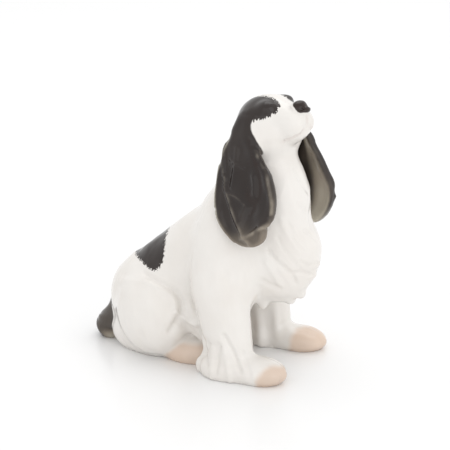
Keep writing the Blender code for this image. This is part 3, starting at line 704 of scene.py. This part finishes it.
# --------------------------------------------------------------- the materials
def glaze(name):
    """White porcelain under a clear glaze, with the painted markings in it, and painted highlights and painted shade on
    the ears.
    """
    mat = bpy.data.materials.new("painted_glaze_" + name)
    mat.use_nodes = True
    nt = mat.node_tree
    nt.nodes.clear()
    N, L = nt.nodes.new, nt.links.new
    out, bsdf = N("ShaderNodeOutputMaterial"), N("ShaderNodeBsdfPrincipled")
    L(bsdf.outputs[0], out.inputs["Surface"])
    co = N("ShaderNodeTexCoord")

    def attr(n):
        a = N("ShaderNodeAttribute")
        a.attribute_name = n
        return a.outputs["Fac"]

    def tex(scale, detail, stretch=(1, 1, 1), rough=0.5):
        mp, t = N("ShaderNodeMapping"), N("ShaderNodeTexNoise")
        mp.inputs["Scale"].default_value = stretch
        t.inputs["Scale"].default_value, t.inputs["Detail"].default_value = scale, detail
        t.inputs["Roughness"].default_value = rough
        L(co.outputs["Object"], mp.inputs["Vector"])
        L(mp.outputs[0], t.inputs["Vector"])
        return t.outputs["Fac"]

    def maths(op, a, b):
        m = N("ShaderNodeMath")
        m.operation = op
        for s, v in zip(m.inputs, (a, b)):
            if hasattr(v, "is_output"):
                L(v, s)
            else:
                s.default_value = v
        return m.outputs[0]

    def span(v, a, b, c=0.0, d=1.0, smooth=True):
        m = N("ShaderNodeMapRange")
        if smooth:
            m.interpolation_type = "SMOOTHSTEP"
        L(v, m.inputs["Value"])
        for k, x in zip(("From Min", "From Max", "To Min", "To Max"), (a, b, c, d)):
            m.inputs[k].default_value = x
        return m.outputs["Result"]

    def mix(fac, a, b):
        m = N("ShaderNodeMix")
        m.data_type = "RGBA"
        for s, v in ((m.inputs[0], fac), (m.inputs[6], a), (m.inputs[7], b)):
            if hasattr(v, "is_output"):
                L(v, s)
            else:
                s.default_value = v if isinstance(v, float) else (*v, 1)
        return m.outputs[2]

    broad, hairs, fine = tex(38, 2), tex(1000, 3, (1, 1, 0.2), 0.55), tex(900, 2, (1, 1, 0.35))
    body = mix(span(broad, 0.35, 0.65), (0.795, 0.760, 0.718), (0.820, 0.792, 0.755))
    body = mix(maths("MULTIPLY", attr("line"), span(broad, 0.3, 0.7, 0.6, 1.0)), body, (0.62, 0.47, 0.42))
    toes = mix(span(broad, 0.3, 0.7), (0.640, 0.475, 0.360), (0.700, 0.550, 0.440))
    body = mix(maths("MULTIPLY", attr("pink"), span(broad, 0.3, 0.7, 0.72, 0.95)), body, toes)
    dark = mix(span(broad, 0.3, 0.7), (0.016, 0.0105, 0.0085), (0.027, 0.019, 0.016))
    # below zero: painted shade in the ear creases, and the nose's deeper black
    dark = mix(span(attr("tan"), 0.0, -0.5), dark, (0.019, 0.0095, 0.0065))
    # taupe of the ears, with painted highlights on the ear ridges
    dark = mix(maths("MULTIPLY", span(attr("tan"), 0.0, 1.0), span(hairs, 0.3, 0.7, 0.9, 1.0)), dark, (0.235, 0.195, 0.150))
    # pale ear ends and tail tip, with painted highlights on the ear ridges and the right ear's back rim
    dark = mix(maths("MULTIPLY", attr("pale"), span(broad, 0.3, 0.7, 0.75, 1.0)), dark, (0.60, 0.56, 0.47))
    # brushed edge: the distance to the marking's outline, stirred by hair-wide streaks
    edge = maths("ADD", attr("black"), maths("MULTIPLY", maths("MULTIPLY", maths("SUBTRACT", hairs, 0.5), attr("hairy")), 7.0))
    paint = span(edge, 0.28, -0.28)
    L(mix(paint, body, dark), bsdf.inputs["Base Color"])
    L(span(fine, 0.2, 0.8, 0.10, 0.17), bsdf.inputs["Roughness"])
    bsdf.inputs["IOR"].default_value = 1.47
    bsdf.inputs["Specular IOR Level"].default_value = 0.42
    bsdf.inputs["Coat Weight"].default_value = 0.06
    bsdf.inputs["Coat Roughness"].default_value = 0.04
    bump = N("ShaderNodeBump")
    bump.inputs["Strength"].default_value = 0.10
    bump.inputs["Distance"].default_value = 0.0004
    L(maths("ADD", maths("MULTIPLY", fine, 0.06), tex(140, 2)), bump.inputs["Height"])
    L(bump.outputs[0], bsdf.inputs["Normal"])
    return mat


# ------------------------------------------------------------------ the pieces
def to_frame(P):
    """Dog's axes in mm -> the frame in metres."""
    return np.stack([P[:, 1] + SHIFT_X, -P[:, 0] + SHIFT_Y, P[:, 2]], 1) * 0.001


def turned(n):
    return np.stack([n[:, 1], -n[:, 0], n[:, 2]], 1)


XYZ, NXYZ = to_frame(V), turned(NRM)
SHELL = 2.2       # mm of clay drawn behind the skin
soft = NRM.copy()
for _ in range(6):
    soft = neighbours_mean(V, Q, soft)
soft /= np.maximum(np.linalg.norm(soft, axis=1, keepdims=True), 1e-9)
BACK = to_frame(V - soft * (SHELL - 1.8 * np.clip(W_["ear_left"] + W_["ear_right"], 0, 1))[:, None])
FIELDS = {"black": black, "hairy": hairy, "pink": pink, "tan": tan, "pale": pale, "line": line}
for i, name in enumerate(NAMES):
    q = Q[QL == i]
    used, inv = np.unique(q, return_inverse=True)
    q = inv.reshape(-1, 4)
    n = len(used)
    # edges met once are the rim, where the casting meets its neighbour
    e = np.concatenate([q[:, [k, (k + 1) % 4]] for k in range(4)])
    key = np.sort(e, 1)
    _, first, count = np.unique(key, axis=0, return_index=True, return_counts=True)
    rim = e[first[count == 1]]
    faces = np.concatenate([q, q[:, ::-1] + n, np.stack([rim[:, 1], rim[:, 0], rim[:, 0] + n, rim[:, 1] + n], 1)])
    pts = np.concatenate([XYZ[used], BACK[used]])
    me = bpy.data.meshes.new(name + "_skin")
    me.vertices.add(len(pts))
    me.vertices.foreach_set("co", pts.ravel())
    me.loops.add(faces.size)
    me.loops.foreach_set("vertex_index", faces.ravel())
    me.polygons.add(len(faces))
    me.polygons.foreach_set("loop_start", np.arange(0, faces.size, 4))
    me.update(calc_edges=True)
    me.validate()
    me.polygons.foreach_set("use_smooth", np.ones(len(me.polygons), bool))
    nn_ = np.concatenate([NXYZ[used], -NXYZ[used]])
    me.normals_split_custom_set_from_vertices(nn_.tolist())
    for key_, val in FIELDS.items():
        at = me.attributes.new(key_, "FLOAT", "POINT")
        at.data.foreach_set("value", np.concatenate([val[used], val[used]]).astype(F32))
    me.materials.append(glaze(name))
    ob = bpy.data.objects.new(name + "_skin", me)
    bpy.context.scene.collection.objects.link(ob)
    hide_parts(name)
    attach(ob, "root")
    print("piece", name, "faces", len(faces))

# ------------------------------------------------------------------ the studio
floor_me = bpy.data.meshes.new("studio_floor")
R_ = 3.0
floor_me.from_pydata([(-R_, -R_, 0), (R_, -R_, 0), (R_, R_, 0), (-R_, R_, 0)], [], [(0, 1, 2, 3)])
floor = bpy.data.objects.new("studio_floor", floor_me)
bpy.context.scene.collection.objects.link(floor)
floor.location.z = -0.0001
fm = bpy.data.materials.new("pale_floor")
fm.use_nodes = True
fb = fm.node_tree.nodes["Principled BSDF"]
fb.inputs["Base Color"].default_value = (0.90, 0.90, 0.90, 1)
fb.inputs["Roughness"].default_value = 0.22
fb.inputs["Specular IOR Level"].default_value = 0.35
floor_me.materials.append(fm)

world = bpy.data.worlds.new("studio")
bpy.context.scene.world = world
world.use_nodes = True
bg = world.node_tree.nodes["Background"]
bg.inputs["Color"].default_value = (1.0, 1.0, 1.0, 1)
bg.inputs["Strength"].default_value = 1.0


def lamp(name, at, size, power, look=(0, 0, 0.08), colour=(1, 1, 1)):
    d = bpy.data.lights.new(name, "AREA")
    d.shape, d.size, d.size_y, d.energy, d.color = "RECTANGLE", size[0], size[1], power, colour
    o = bpy.data.objects.new(name, d)
    bpy.context.scene.collection.objects.link(o)
    o.location = at
    o.rotation_euler = (Vector(look) - Vector(at)).to_track_quat("-Z", "Y").to_euler()
    return o


lamp("key", (0.48, 0.03, 1.19), (0.9, 0.9), 2.6)
lamp("front", (-0.45, -1.15, 0.42), (0.9, 0.9), 1.9, (0, 0, 0.06))
lamp("fill", (-1.05, -0.30, 0.30), (1.2, 0.7), 0.9, (0, 0, 0.05))

# ------------------------------------------------------------------ the camera
AZ, EL, DIST, MM_PX = radians(-67), radians(19), 1.100, 0.58
back = Vector((sin(AZ) * cos(EL), -cos(AZ) * cos(EL), sin(EL)))
right = Vector((cos(AZ), sin(AZ), 0))
up = back.cross(right)
cam_d = bpy.data.cameras.new("camera")
cam_d.sensor_width = 36.0
cam_d.lens = 36.0 * DIST * 1000 / (450 * MM_PX)
cam_d.clip_start, cam_d.clip_end = 0.05, 20
cam = bpy.data.objects.new("camera", cam_d)
bpy.context.scene.collection.objects.link(cam)
target = Vector((SHIFT_X * 0.001, SHIFT_Y * 0.001, 0.080))
cam.matrix_world = Matrix.Translation(target + back * DIST) @ Matrix((right, up, back)).transposed().to_4x4()
bpy.context.scene.camera = cam
bpy.context.scene.view_settings.view_transform = "Standard"
